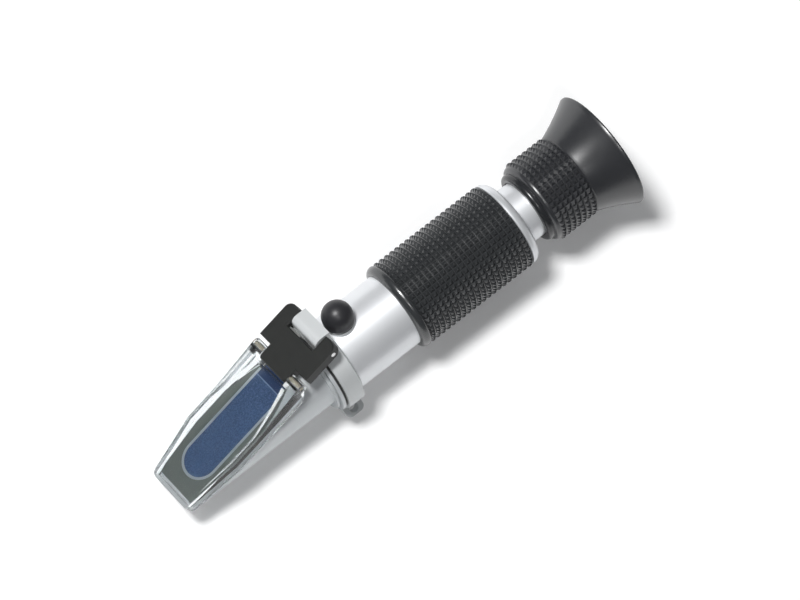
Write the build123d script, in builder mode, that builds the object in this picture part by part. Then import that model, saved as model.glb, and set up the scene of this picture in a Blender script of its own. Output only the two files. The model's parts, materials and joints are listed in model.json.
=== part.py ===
from build123d import *
import os
from math import cos, radians, sin, sqrt

# A hand-held brix refractometer: a metal body with a prism under a hinged clear plate at its front
# end, and a focusing eyepiece in a rubber cup at its rear end. X runs along the optical axis from the
# prism tip to the eyecup, Z points to the prism's side, and the origin lies under the middle of the
# instrument, level with the eyecup's lowest point. All sizes are in millimetres.

# Clearances
snug = 0.02
running = 0.05
sliding = 0.08
free = 0.3

# Lengths along the optical axis, from the front
head_length = 55.1
flange_width = 2.1
gasket_width = 0.8
collar_width = 5.6
collar_bevel = 0.9
bare_tube_length = 22.6
grip_length = 42.8
end_ring_length = 3.0
neck_length = 5.2
core_nose_length = 2.0
cup_sleeve_length = 15.9
flare_length = 13.0

# Radii of the body
head_radius = 11.2
head_lift = 0.6
flange_radius = 14.3
flange_front_radius = 12.9
flange_front_width = 0.7
flange_groove_width = 0.4
flange_groove_depth = 2.0
collar_radius = 15.0
collar_foot_radius = 12.9
tube_radius = 12.4
tube_wall = 1.5
spigot_wall = 1.5
spigot_length = 7.6
light_bore_radius = 5.2
light_chamber_depth = 0.8

# Deck of the prism head, the sloping face that the clear plate lies on
deck_angle = 18.0
deck_drop = -4.8
head_front_setback = 2.5
head_full_width_at = 21.0
chin_drop = -6.6
chin_run = 10.0

# Prism
prism_half_width = 5.9
prism_front = 8.0
prism_rear_margin = 0.3
prism_base_drop = -5.5
bezel_width = 0.85
bezel_rear_margin = 1.5
bezel_depth = 1.0
seal_depth = 0.8

# Clear cover plate, in distances along and above the deck
plate_gap = 0.1
plate_floor = 1.6
plate_tip_half_width = 9.1
plate_half_width = 11.6
plate_full_width_at = 20.0
plate_corner_radius = 2.0
plate_length = 46.9
plate_tip_height = 0.9
plate_wall_height = 3.6
plate_wall_rise_at = 32.0
plate_lip = 1.9
recess_tip_half_width = 7.7
recess_half_width = 10.3
recess_full_until = 29.0
recess_waist_at = 38.0
recess_waist_half_width = 8.8
plate_rear_wall = 0.6
recess_rear_half_width = 6.8
skirt_depth = 1.6
skirt_wall = 1.2
ear_radius = 1.7

# Hinge block and its pins
cover_pin_reach = 3.1
cover_pin_height = 3.8
cover_pin_radius = 0.75
block_pin_at = 64.0
block_pin_height = 4.0
block_pin_radius = 0.75
block_edge = 0.35
block_lift = 2.25
block_top = 5.8
nose_half_width = 6.4
nose_gap = 0.9
nose_corner_radius = 1.3
wing_half_width = 11.65
wing_setback = 2.9
wing_corner_radius = 2.5
block_rear = 66.4
pocket_front = 60.5
tongue_half_width = 6.0
tongue_side_gap = 0.25
tongue_radius = 2.4
tongue_reach = 3.3
leaf_thickness = 0.4
leaf_width = 5.0
leaf_edge_margin = 0.25

# Strap lug on the collar
lug_turn = 150.0
lug_length = 6.4
lug_overhang = 0.9
lug_reach = 19.4
lug_thickness = 3.0
lug_hole_radius = 1.6
lug_hole_reach = 17.0
lug_corner_radius = 1.8

# Calibration screw, its bush and its rubber cap
calibration_station = 69.5
seat_radius = 4.6
seat_height = 13.0
bush_radius = 3.9
bush_drop = 8.4
socket_radius = 2.6
socket_floor = 10.4
screw_radius = 1.5
screw_length = 3.1
screw_lift = 7.1
screw_slot_width = 0.6
screw_slot_depth = 0.8
cap_radius = 4.9
cap_centre_height = 16.5
cap_foot_fillet = 1.6
cap_stem_radius = 2.5
cap_stem_drop = 10.6

# Collar set screws
set_screw_radius = 1.0
set_screw_turns = (180.0, 270.0)

# Objective on its tilting lever
lens_mount_offset = 1.1
lens_mount_width = 4.0
lens_mount_inner = 6.8
lever_height = 6.2
lever_pin_radius = 0.6
lever_hub_radius = 1.4
lever_half_width = 2.0
lever_thickness = 0.8
lever_end = 73.0
lever_pin_half_length = 5.6
strip_thickness = 0.4
strip_half_width = 1.5
strip_margin = 1.6
rivet_radius = 0.4
rivet_head_radius = 0.8
rivet_head_height = 0.3
objective_cell_radius = 7.0
objective_cell_length = 4.2
objective_radius = 4.75
objective_thickness = 2.6
objective_rim = 1.2
cell_lip = 0.6

# Baffle, grip and rear end of the body
baffle_station = 95.0
baffle_thickness = 1.2
baffle_aperture = 5.0
grip_root_radius = 14.0
grip_crest_radius = 14.7
grip_row_pitch = 2.0
grip_nose_length = 3.0
grip_nose_fillet = 2.0
end_ring_radius = 14.5
end_ring_fillet = 2.6
end_ring_spigot = 5.0

# Eyepiece tube with the reticle
eyepiece_radius = 9.5
eyepiece_wall = 1.0
eyepiece_front = 112.0
eyepiece_rear = 146.5
eyepiece_flange_width = 2.0
reticle_station = 119.0
reticle_radius = 7.2
reticle_thickness = 1.0
reticle_seat_radius = 6.2
reticle_cell_front = 3.0
reticle_ring_width = 1.0

# Sliding eyepiece cell and its lenses
cell_front = 130.0
cell_flange_front = 150.5
cell_flange_width = 2.0
cell_flange_radius = 10.9
cell_bore_radius = 6.4
lens_radius = 7.2
lens_seat_setback = 6.0
field_lens_thickness = 3.0
lens_spacer_width = 1.0
eye_lens_thickness = 3.0
lens_edge = 1.4
lens_seat_gap = 0.25
lens_ring_wall = 1.2
focus_in = 2.5
focus_out = 3.5
guide_screw_station = 140.0
guide_screw_radius = 0.8
guide_screw_depth = 1.9
guide_slot_play = 0.1

# Focus ring with its rubber cup
core_radius = 12.0
core_nose_fillet = 1.3
core_play = 0.3
core_rear_margin = 1.0
core_end_play = 0.15
retaining_ring_width = 1.5
retaining_ring_inner = 8.0
cup_root_radius = 13.6
cup_crest_radius = 14.2
cup_row_pitch = 2.1
cup_nose_length = 1.4
cup_nose_radius = 12.9
flare_start_radius = 13.9
cup_rim_radius = 19.8
cup_wall = 1.2
flare_sag = 0.35
cup_throat_length = 0.9

# Stations along the axis
flange_front = head_length
gasket_front = flange_front + flange_width
collar_front = gasket_front + gasket_width
collar_shoulder = collar_front + collar_width
collar_end = collar_shoulder + collar_bevel
grip_front = collar_end + bare_tube_length
grip_end = grip_front + grip_length
ring_end = grip_end + end_ring_length
core_front = ring_end + neck_length
cup_front = core_front + core_nose_length
flare_front = cup_front + cup_sleeve_length
overall_length = flare_front + flare_length
half_length = overall_length / 2
axis_height = cup_rim_radius
lens_seat_station = cell_flange_front - lens_seat_setback
tube_bore = tube_radius - tube_wall
eyepiece_bore = eyepiece_radius - eyepiece_wall
deck_start = plate_tip_height * sin(radians(deck_angle))
far = 2 * cup_rim_radius

# Places along the deck that follow the clear plate
cover_pin_at = plate_length + cover_pin_reach
nose_front = plate_length + nose_gap
wing_front = cover_pin_at + wing_setback
prism_rear = plate_length + prism_rear_margin
head_front_half_width = plate_tip_half_width - skirt_wall - free

# Working planes: lengthwise section, deck and deck side
section = Plane(origin=(-half_length, 0, axis_height), x_dir=(1, 0, 0), z_dir=(0, -1, 0))
optical_axis = Axis((-half_length, 0, axis_height), (1, 0, 0))
slope = (cos(radians(deck_angle)), 0, sin(radians(deck_angle)))
deck_origin = (deck_start - half_length, 0, axis_height + deck_drop)
deck = Plane(origin=deck_origin, x_dir=slope, z_dir=(-slope[2], 0, slope[0]))
deck_side = Plane(origin=deck_origin, x_dir=slope, z_dir=(0, -1, 0))


def across(station):
    """Plane square to the axis at a station, with Y to its right and Z up."""
    return Plane(origin=(station - half_length, 0, axis_height), x_dir=(0, 1, 0), z_dir=(1, 0, 0))


def level(height, station=0.0):
    """Level plane at a height above the axis, centred on a station."""
    return Plane(origin=(station - half_length, 0, axis_height + height))


def radial(turn):
    """Plane holding the axis and the radius that is turned from straight up towards -Y."""
    return Plane(
        origin=(-half_length, 0, axis_height),
        x_dir=(1, 0, 0),
        z_dir=(0, -cos(radians(turn)), -sin(radians(turn))),
    )


def lathe_outline(points):
    """Closed outline through (station, radius) points, to be turned about the optical axis."""
    with BuildSketch(section) as outline:
        with BuildLine():
            Polyline(*points, close=True)
        make_face()
    return outline.sketch.face()


def ring_outline(start, end, outer, inner):
    """Outline of a plain ring between two stations."""
    return lathe_outline([(start, inner), (end, inner), (end, outer), (start, outer)])


def knurled_points(start, end, pitch, root, crest):
    """Zigzag of whole rows from root to crest, as near the pitch as the length allows."""
    rows = max(1, round((end - start) / pitch))
    step = (end - start) / rows
    points = []
    for row in range(rows):
        points.append((start + row * step, root))
        points.append((start + (row + 0.5) * step, crest))
    points.append((end, root))
    return points


def half_outline(points):
    """Mirror (distance, half width) points into a closed outline about the centre line."""
    return points + [(along, -half) for along, half in reversed(points)]


def deck_outline(points, above=0.0):
    """Face level with the deck, at a height above it, from (distance, half width) points."""
    with BuildSketch(deck.offset(above)) as outline:
        with BuildLine():
            Polyline(*half_outline(points), close=True)
        make_face()
    return outline.sketch.face()


def prism_shape(grow):
    """Outline of the prism's measuring face, round at the front, grown by a clearance."""
    with BuildSketch(deck) as outline:
        with Locations((prism_front + prism_half_width, 0)):
            Circle(prism_half_width + grow)
        with BuildLine():
            Polyline(
                *half_outline(
                    [
                        (prism_front + prism_half_width, prism_half_width + grow),
                        (prism_rear + prism_half_width, prism_half_width + grow),
                    ]
                ),
                close=True,
            )
        make_face()
    return outline.sketch


def deck_station(along, above=0.0):
    """Station of a point given along and above the deck."""
    return deck_start + along * slope[0] - above * slope[2]


def deck_height(along, above=0.0):
    """Height over the axis of a point given along and above the deck."""
    return deck_drop + along * slope[2] + above * slope[0]


def prism_block(grow):
    """The prism's wedge, grown by a clearance for its pocket."""
    with BuildPart() as block:
        extrude(prism_shape(grow), amount=-far)
        with BuildSketch(section):
            with BuildLine():
                Polyline(
                    (0, prism_base_drop - grow),
                    (prism_rear_station + grow, prism_base_drop - grow),
                    (prism_rear_station + grow, far),
                    (0, far),
                    close=True,
                )
            make_face()
        extrude(amount=far, both=True, mode=Mode.INTERSECT)
    return block.part


def rim_strip(top, bottom, grow):
    """Strip that runs round the front and sides of the prism between two depths."""
    with BuildPart() as strip:
        with BuildSketch(deck.offset(bottom)):
            with Locations((prism_front + prism_half_width, 0)):
                Circle(prism_half_width + bezel_width + grow)
            with BuildLine():
                Polyline(
                    *half_outline(
                        [
                            (prism_front + prism_half_width, prism_half_width + bezel_width + grow),
                            (plate_length - bezel_rear_margin, prism_half_width + bezel_width + grow),
                        ]
                    ),
                    close=True,
                )
            make_face()
        extrude(amount=top - bottom)
        add(prism_block(snug), mode=Mode.SUBTRACT)
    return strip.part


def lens_outline(start, thickness, edge, radius):
    """Lathe outline of a lens that is convex on both faces."""
    swell = (thickness - edge) / 2
    ball = (radius**2 + swell**2) / (2 * swell)
    middle = ball - sqrt(ball**2 - radius**2 / 4)
    with BuildSketch(section) as outline:
        with BuildLine():
            Line((start, 0), (start + thickness, 0))
            ThreePointArc(
                (start + thickness, 0),
                (start + thickness - middle, radius / 2),
                (start + thickness - swell, radius),
            )
            Line((start + thickness - swell, radius), (start + swell, radius))
            ThreePointArc((start + swell, radius), (start + middle, radius / 2), (start, 0))
        make_face()
    return outline.sketch.face()


def write(piece, name):
    """Name a finished piece and write it to its own file."""
    piece.part.label = name
    export_step(piece.part, f"parts/{name}.step")


os.makedirs("parts", exist_ok=True)
prism_rear_station = deck_station(prism_rear)
step_half_width = plate_half_width - skirt_wall - free
step_depth = skirt_depth + free
groove_end = flange_front + flange_front_width + flange_groove_width

# Prism head: a round barrel cut off by the sloping deck, with a flange and a spigot for the tube
with BuildPart() as prism_head:
    with BuildSketch(across(head_front_setback)):
        with Locations((0, head_lift)):
            Circle(head_radius)
    extrude(amount=flange_front - head_front_setback)
    with BuildSketch(level(0)):
        with BuildLine():
            Polyline(
                *half_outline(
                    [
                        (head_front_setback, head_front_half_width),
                        (head_full_width_at, head_radius + 1),
                        (flange_front, head_radius + 1),
                    ]
                ),
                close=True,
            )
        make_face()
    extrude(amount=far, both=True, mode=Mode.INTERSECT)
    with BuildSketch(section):
        with BuildLine():
            Polyline(
                (0, chin_drop),
                (head_front_setback, chin_drop),
                (head_front_setback + chin_run, head_lift - head_radius),
                (head_front_setback + chin_run, -far),
                (0, -far),
                close=True,
            )
        make_face()
    extrude(amount=far, both=True, mode=Mode.SUBTRACT)
    with BuildSketch(deck_side):
        with BuildLine():
            Polyline((-far, 0), (cover_pin_at + far, 0), (cover_pin_at + far, far), (-far, far), close=True)
        make_face()
    extrude(amount=far, both=True, mode=Mode.SUBTRACT)
    with BuildSketch(deck.offset(-step_depth)):
        with BuildLine():
            Polyline(*half_outline([(-far, far), (plate_length + 1, far)]), close=True)
        make_face()
        with BuildLine():
            Polyline(
                *half_outline(
                    [
                        (-far, head_front_half_width),
                        (0, head_front_half_width),
                        (plate_full_width_at, step_half_width),
                        (plate_length + 2, step_half_width),
                    ]
                ),
                close=True,
            )
        make_face(mode=Mode.SUBTRACT)
    extrude(amount=far, mode=Mode.SUBTRACT)
    add(prism_block(snug), mode=Mode.SUBTRACT)
    add(rim_strip(0, -bezel_depth - seal_depth, snug), mode=Mode.SUBTRACT)
    revolve(
        lathe_outline(
            [
                (flange_front, 0),
                (flange_front, flange_front_radius),
                (flange_front + flange_front_width, flange_front_radius),
                (flange_front + flange_front_width, flange_radius - flange_groove_depth),
                (groove_end, flange_radius - flange_groove_depth),
                (groove_end, flange_radius),
                (gasket_front, flange_radius),
                (gasket_front, tube_bore - snug),
                (gasket_front + spigot_length, tube_bore - snug),
                (gasket_front + spigot_length, 0),
            ]
        ),
        axis=optical_axis,
    )
    revolve(
        ring_outline(prism_rear_station, gasket_front, light_bore_radius, 0),
        axis=optical_axis,
        mode=Mode.SUBTRACT,
    )
    revolve(
        ring_outline(
            gasket_front - light_chamber_depth,
            gasket_front + spigot_length,
            tube_bore - snug - spigot_wall,
            0,
        ),
        axis=optical_axis,
        mode=Mode.SUBTRACT,
    )
write(prism_head, "prism_head")

# Glass prism, cemented into the head
with BuildPart() as main_prism:
    add(prism_block(0))
write(main_prism, "main_prism")

# Bright bead around the prism and the seal under it
with BuildPart() as prism_bezel:
    add(rim_strip(0, -bezel_depth, 0))
write(prism_bezel, "prism_bezel")

with BuildPart() as prism_seal:
    add(rim_strip(-bezel_depth, -bezel_depth - seal_depth, 0))
write(prism_seal, "prism_seal")

# Gasket between the head's flange and the collar
with BuildPart() as head_gasket:
    revolve(ring_outline(gasket_front, collar_front, flange_radius - free, tube_bore), axis=optical_axis)
write(head_gasket, "head_gasket")

# Collar with the hinge tongue and the strap lug
block_pin_station = deck_station(block_pin_at, block_pin_height)
block_pin_level = deck_height(block_pin_at, block_pin_height)
tongue_front = block_pin_station - tongue_radius
tongue_rear = block_pin_station + tongue_reach
collar_bore = tube_radius + snug
lug_centre = collar_front - lug_overhang + lug_length / 2
with BuildPart() as collar:
    revolve(
        lathe_outline(
            [
                (collar_front, collar_bore),
                (collar_front, collar_radius),
                (collar_shoulder, collar_radius),
                (collar_end, collar_foot_radius),
                (collar_end, collar_bore),
            ]
        ),
        axis=optical_axis,
    )
    with BuildSketch(section):
        with BuildLine():
            Polyline(
                (collar_front, collar_foot_radius),
                (tongue_rear, collar_foot_radius),
                (tongue_rear, block_pin_level + tongue_radius),
                (block_pin_station, block_pin_level + tongue_radius),
                (block_pin_station, block_pin_level),
                (tongue_front, block_pin_level),
                (tongue_front, collar_radius + free),
                (collar_front, collar_radius + free),
                close=True,
            )
        make_face()
        with Locations((block_pin_station, block_pin_level)):
            Circle(tongue_radius)
            Circle(block_pin_radius + running, mode=Mode.SUBTRACT)
    extrude(amount=tongue_half_width, both=True)
    with BuildSketch(radial(lug_turn)):
        with BuildLine():
            Polyline(
                (collar_front - lug_overhang, flange_radius + free),
                (collar_front, flange_radius + free),
                (collar_front, collar_foot_radius),
                (collar_front - lug_overhang + lug_length, collar_foot_radius),
                (collar_front - lug_overhang + lug_length, lug_reach),
                (collar_front - lug_overhang, lug_reach),
                close=True,
            )
        make_face()
        fillet(vertices().group_by(Axis.Y)[-1], lug_corner_radius)
        with Locations((lug_centre, lug_hole_reach)):
            Circle(lug_hole_radius, mode=Mode.SUBTRACT)
    extrude(amount=lug_thickness / 2, both=True)
    with BuildSketch(level(0, calibration_station)):
        Circle(seat_radius + free)
    extrude(amount=far, mode=Mode.SUBTRACT)
    for turn in set_screw_turns:
        with BuildSketch(Plane(origin=across(lug_centre).origin, z_dir=radial(turn).y_dir)):
            Circle(set_screw_radius + snug)
        extrude(amount=far, mode=Mode.SUBTRACT)
write(collar, "collar")

# Set screws that lock the collar to the tube
with BuildPart() as collar_set_screws:
    for turn in set_screw_turns:
        with BuildSketch(
            Plane(
                origin=across(lug_centre).origin + radial(turn).y_dir * collar_bore,
                z_dir=radial(turn).y_dir,
            )
        ):
            Circle(set_screw_radius)
        extrude(amount=collar_radius - collar_bore - free)
write(collar_set_screws, "collar_set_screws")

# Main tube with the hole for the calibration bush
with BuildPart() as main_tube:
    revolve(ring_outline(collar_front, grip_end, tube_radius, tube_bore), axis=optical_axis)
    with BuildSketch(level(0, calibration_station)):
        Circle(bush_radius + snug)
    extrude(amount=far, mode=Mode.SUBTRACT)
write(main_tube, "main_tube")

# Threaded bush for the calibration screw, saddled on the tube
with BuildPart() as calibration_bush:
    with BuildSketch(level(0, calibration_station)):
        Circle(seat_radius)
    extrude(amount=seat_height)
    revolve(
        ring_outline(collar_front, grip_end, tube_radius + snug, 0),
        axis=optical_axis,
        mode=Mode.SUBTRACT,
    )
    with BuildSketch(level(bush_drop, calibration_station)):
        Circle(bush_radius)
    extrude(amount=seat_height - bush_drop)
    with BuildSketch(level(bush_drop, calibration_station)):
        Circle(screw_radius + running)
    extrude(amount=seat_height - bush_drop, mode=Mode.SUBTRACT)
    with BuildSketch(level(socket_floor, calibration_station)):
        Circle(socket_radius)
    extrude(amount=seat_height - socket_floor, mode=Mode.SUBTRACT)
write(calibration_bush, "calibration_bush")

# Slotted calibration screw
with BuildPart() as calibration_screw:
    with BuildSketch(level(screw_lift, calibration_station)):
        Circle(screw_radius)
    extrude(amount=screw_length)
    with BuildSketch(level(screw_lift + screw_length - screw_slot_depth, calibration_station)):
        Rectangle(far, screw_slot_width)
    extrude(amount=far, mode=Mode.SUBTRACT)
write(calibration_screw, "calibration_screw")

# Rubber cap, round on top, that plugs the screw's socket
with BuildPart() as calibration_cap:
    with BuildSketch(level(seat_height + snug, calibration_station)):
        Circle(cap_radius)
    extrude(amount=cap_centre_height - seat_height - snug)
    fillet(edges().group_by(Axis.Z)[0], cap_foot_fillet)
    with Locations(level(cap_centre_height, calibration_station)):
        Sphere(cap_radius, arc_size1=0, align=(Align.CENTER, Align.CENTER, Align.MIN))
    with BuildSketch(level(cap_stem_drop, calibration_station)):
        Circle(cap_stem_radius)
    extrude(amount=cap_centre_height - cap_stem_drop)
write(calibration_cap, "calibration_cap")

# Ring inside the spigot that carries the lever's pin
lens_mount_front = collar_front + lens_mount_offset
lens_mount_radius = tube_bore - snug - spigot_wall - snug
lever_pin_station = lens_mount_front + lens_mount_width / 2
with BuildPart() as lens_mount:
    revolve(
        ring_outline(
            lens_mount_front,
            lens_mount_front + lens_mount_width,
            lens_mount_radius,
            lens_mount_inner,
        ),
        axis=optical_axis,
    )
    with BuildSketch(level(0, lever_pin_station)):
        Rectangle(far, 2 * (lever_half_width + free))
    extrude(amount=far, mode=Mode.SUBTRACT)
    with BuildSketch(section):
        with Locations((lever_pin_station, lever_height)):
            Circle(lever_pin_radius + snug)
    extrude(amount=far, both=True, mode=Mode.SUBTRACT)
write(lens_mount, "lens_mount")

with BuildPart() as lever_pin:
    with BuildSketch(section):
        with Locations((lever_pin_station, lever_height)):
            Circle(lever_pin_radius)
    extrude(amount=lever_pin_half_length, both=True)
write(lever_pin, "lever_pin")

# Lever that tilts the objective, with a bimetal strip riveted under it
strip_front = lever_pin_station + lever_hub_radius + strip_margin
strip_end = lever_end - strip_margin / 2
strip_top = lever_height - lever_thickness / 2
rivet_stations = (strip_front + strip_margin, strip_end - strip_margin)
with BuildPart() as lens_lever:
    with BuildSketch(section):
        with BuildLine():
            Polyline(
                (lever_pin_station, strip_top),
                (lever_end, strip_top),
                (lever_end, strip_top + lever_thickness),
                (lever_pin_station, strip_top + lever_thickness),
                close=True,
            )
        make_face()
        with Locations((lever_pin_station, lever_height)):
            Circle(lever_hub_radius)
            Circle(lever_pin_radius + running, mode=Mode.SUBTRACT)
    extrude(amount=lever_half_width, both=True)
    for station in rivet_stations:
        with BuildSketch(level(0, station)):
            Circle(rivet_radius + snug)
        extrude(amount=far, mode=Mode.SUBTRACT)
write(lens_lever, "lens_lever")

with BuildPart() as bimetal_strip:
    with BuildSketch(level(strip_top - snug, (strip_front + strip_end) / 2)):
        Rectangle(strip_end - strip_front, 2 * strip_half_width)
    extrude(amount=-strip_thickness)
    for station in rivet_stations:
        with BuildSketch(level(0, station)):
            Circle(rivet_radius + snug)
        extrude(amount=far, mode=Mode.SUBTRACT)
write(bimetal_strip, "bimetal_strip")

strip_bottom = strip_top - snug - strip_thickness
with BuildPart() as strip_rivets:
    for station in rivet_stations:
        with BuildSketch(level(strip_bottom, station)):
            Circle(rivet_radius)
        extrude(amount=strip_top + lever_thickness - strip_bottom)
        with BuildSketch(level(strip_bottom, station)):
            Circle(rivet_head_radius)
        extrude(amount=-rivet_head_height)
write(strip_rivets, "strip_rivets")

# Objective cell, its lens and its threaded ring
objective_front = lever_end + snug
objective_seat = objective_front + cell_lip
with BuildPart() as objective_cell:
    revolve(
        lathe_outline(
            [
                (objective_front, objective_radius - cell_lip),
                (objective_front, objective_cell_radius),
                (objective_front + objective_cell_length, objective_cell_radius),
                (objective_front + objective_cell_length, objective_radius + snug),
                (objective_seat, objective_radius + snug),
                (objective_seat, objective_radius - cell_lip),
            ]
        ),
        axis=optical_axis,
    )
write(objective_cell, "objective_cell")

with BuildPart() as objective_lens:
    revolve(
        lens_outline(
            objective_seat + lens_seat_gap - (objective_thickness - objective_rim) / 2,
            objective_thickness,
            objective_rim,
            objective_radius,
        ),
        axis=optical_axis,
    )
write(objective_lens, "objective_lens")

with BuildPart() as objective_ring:
    revolve(
        ring_outline(
            objective_seat + objective_rim + 2 * lens_seat_gap,
            objective_front + objective_cell_length,
            objective_radius,
            objective_radius - cell_lip,
        ),
        axis=optical_axis,
    )
write(objective_ring, "objective_ring")

# Baffle that keeps stray light off the reticle
with BuildPart() as light_baffle:
    revolve(
        ring_outline(baffle_station, baffle_station + baffle_thickness, tube_bore - snug, baffle_aperture),
        axis=optical_axis,
    )
write(light_baffle, "light_baffle")

# Knurled rubber grip with a smooth rounded nose
with BuildPart() as grip_sleeve:
    revolve(
        lathe_outline(
            [(grip_front, tube_radius + snug), (grip_front, grip_crest_radius)]
            + [(grip_front + grip_nose_length, grip_crest_radius)]
            + knurled_points(
                grip_front + grip_nose_length + free,
                grip_end,
                grip_row_pitch,
                grip_root_radius,
                grip_crest_radius,
            )
            + [(grip_end, tube_radius + snug)]
        ),
        axis=optical_axis,
    )
    nose_edge = edges().filter_by(GeomType.CIRCLE).group_by(Axis.X)[0].sort_by(SortBy.RADIUS)[-1]
    fillet(nose_edge, grip_nose_fillet)
write(grip_sleeve, "grip_sleeve")

# Bright ring that closes the rear of the body
with BuildPart() as rear_end_ring:
    revolve(
        lathe_outline(
            [
                (grip_end - end_ring_spigot, eyepiece_radius + snug),
                (grip_end - end_ring_spigot, tube_bore - snug),
                (grip_end, tube_bore - snug),
                (grip_end, end_ring_radius),
                (ring_end, end_ring_radius),
                (ring_end, eyepiece_radius + snug),
            ]
        ),
        axis=optical_axis,
    )
    rear_edge = edges().filter_by(GeomType.CIRCLE).group_by(Axis.X)[-1].sort_by(SortBy.RADIUS)[-1]
    fillet(rear_edge, end_ring_fillet)
write(rear_end_ring, "rear_end_ring")

# Fixed eyepiece tube
with BuildPart() as eyepiece_tube:
    revolve(
        lathe_outline(
            [
                (eyepiece_front, eyepiece_bore),
                (eyepiece_front, tube_bore - snug),
                (eyepiece_front + eyepiece_flange_width, tube_bore - snug),
                (eyepiece_front + eyepiece_flange_width, eyepiece_radius),
                (eyepiece_rear, eyepiece_radius),
                (eyepiece_rear, eyepiece_bore),
            ]
        ),
        axis=optical_axis,
    )
    with BuildSketch(level(0, guide_screw_station)):
        Circle(guide_screw_radius + snug)
    extrude(amount=-far, mode=Mode.SUBTRACT)
write(eyepiece_tube, "eyepiece_tube")

with BuildPart() as focus_guide_screw:
    with BuildSketch(level(-eyepiece_radius + running, guide_screw_station)):
        Circle(guide_screw_radius)
    extrude(amount=guide_screw_depth)
write(focus_guide_screw, "focus_guide_screw")

# Reticle with the scale, its cell and its ring
with BuildPart() as reticle_cell:
    revolve(
        lathe_outline(
            [
                (reticle_station - reticle_cell_front, reticle_seat_radius),
                (reticle_station - reticle_cell_front, eyepiece_bore - snug),
                (reticle_station + reticle_thickness + reticle_ring_width, eyepiece_bore - snug),
                (reticle_station + reticle_thickness + reticle_ring_width, reticle_radius + snug),
                (reticle_station, reticle_radius + snug),
                (reticle_station, reticle_seat_radius),
            ]
        ),
        axis=optical_axis,
    )
write(reticle_cell, "reticle_cell")

with BuildPart() as reticle:
    revolve(
        ring_outline(reticle_station + snug, reticle_station + reticle_thickness, reticle_radius, 0),
        axis=optical_axis,
    )
write(reticle, "reticle")

with BuildPart() as reticle_retaining_ring:
    revolve(
        ring_outline(
            reticle_station + reticle_thickness + snug,
            reticle_station + reticle_thickness + reticle_ring_width,
            reticle_radius,
            reticle_seat_radius,
        ),
        axis=optical_axis,
    )
write(reticle_retaining_ring, "reticle_retaining_ring")

# Sliding eyepiece cell with a keyway for the guide screw
cell_radius = eyepiece_bore - sliding
cell_rear = cell_flange_front + cell_flange_width
slot_front = guide_screw_station - guide_screw_radius - focus_out - guide_slot_play
slot_end = guide_screw_station + guide_screw_radius + focus_in + guide_slot_play
slot_floor = eyepiece_radius - guide_screw_depth - guide_slot_play
with BuildPart() as eyepiece_cell:
    revolve(
        lathe_outline(
            [
                (cell_front, cell_bore_radius),
                (cell_front, cell_radius),
                (cell_flange_front, cell_radius),
                (cell_flange_front, cell_flange_radius),
                (cell_rear, cell_flange_radius),
                (cell_rear, lens_radius + snug),
                (lens_seat_station, lens_radius + snug),
                (lens_seat_station, cell_bore_radius),
            ]
        ),
        axis=optical_axis,
    )
    with BuildSketch(level(-slot_floor, (slot_front + slot_end) / 2)):
        Rectangle(slot_end - slot_front, 2 * (guide_screw_radius + guide_slot_play))
    extrude(amount=-far, mode=Mode.SUBTRACT)
write(eyepiece_cell, "eyepiece_cell")

field_lens_rim_end = lens_seat_station + lens_seat_gap + lens_edge
spacer_end = field_lens_rim_end + (field_lens_thickness - lens_edge) / 2 + lens_spacer_width
eye_lens_front = spacer_end + lens_seat_gap
with BuildPart() as field_lens:
    revolve(
        lens_outline(
            lens_seat_station + lens_seat_gap - (field_lens_thickness - lens_edge) / 2,
            field_lens_thickness,
            lens_edge,
            lens_radius,
        ),
        axis=optical_axis,
    )
write(field_lens, "field_lens")

with BuildPart() as lens_spacer:
    revolve(
        ring_outline(
            field_lens_rim_end + lens_seat_gap, spacer_end, lens_radius, lens_radius - lens_ring_wall
        ),
        axis=optical_axis,
    )
write(lens_spacer, "lens_spacer")

with BuildPart() as eye_lens:
    revolve(
        lens_outline(
            eye_lens_front - (eye_lens_thickness - lens_edge) / 2,
            eye_lens_thickness,
            lens_edge,
            lens_radius,
        ),
        axis=optical_axis,
    )
write(eye_lens, "eye_lens")

with BuildPart() as eye_lens_ring:
    revolve(
        ring_outline(
            eye_lens_front + lens_edge + lens_seat_gap,
            cell_rear,
            lens_radius,
            lens_radius - lens_ring_wall,
        ),
        axis=optical_axis,
    )
write(eye_lens_ring, "eye_lens_ring")

# Focus ring: a hard core that turns on the cell's flange
core_seat = cell_flange_front - core_end_play
ring_seat = cell_rear + core_end_play
core_end = ring_seat + retaining_ring_width + core_rear_margin
core_pocket_radius = cell_flange_radius + sliding
with BuildPart() as focus_core:
    revolve(
        lathe_outline(
            [
                (core_front, eyepiece_radius + core_play),
                (core_front, core_radius),
                (core_end, core_radius),
                (core_end, core_pocket_radius),
                (core_seat, core_pocket_radius),
                (core_seat, eyepiece_radius + core_play),
            ]
        ),
        axis=optical_axis,
    )
    core_edge = edges().filter_by(GeomType.CIRCLE).group_by(Axis.X)[0].sort_by(SortBy.RADIUS)[-1]
    fillet(core_edge, core_nose_fillet)
write(focus_core, "focus_core")

with BuildPart() as core_retaining_ring:
    revolve(
        ring_outline(
            ring_seat,
            ring_seat + retaining_ring_width,
            core_pocket_radius - snug,
            retaining_ring_inner,
        ),
        axis=optical_axis,
    )
write(core_retaining_ring, "core_retaining_ring")

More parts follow.
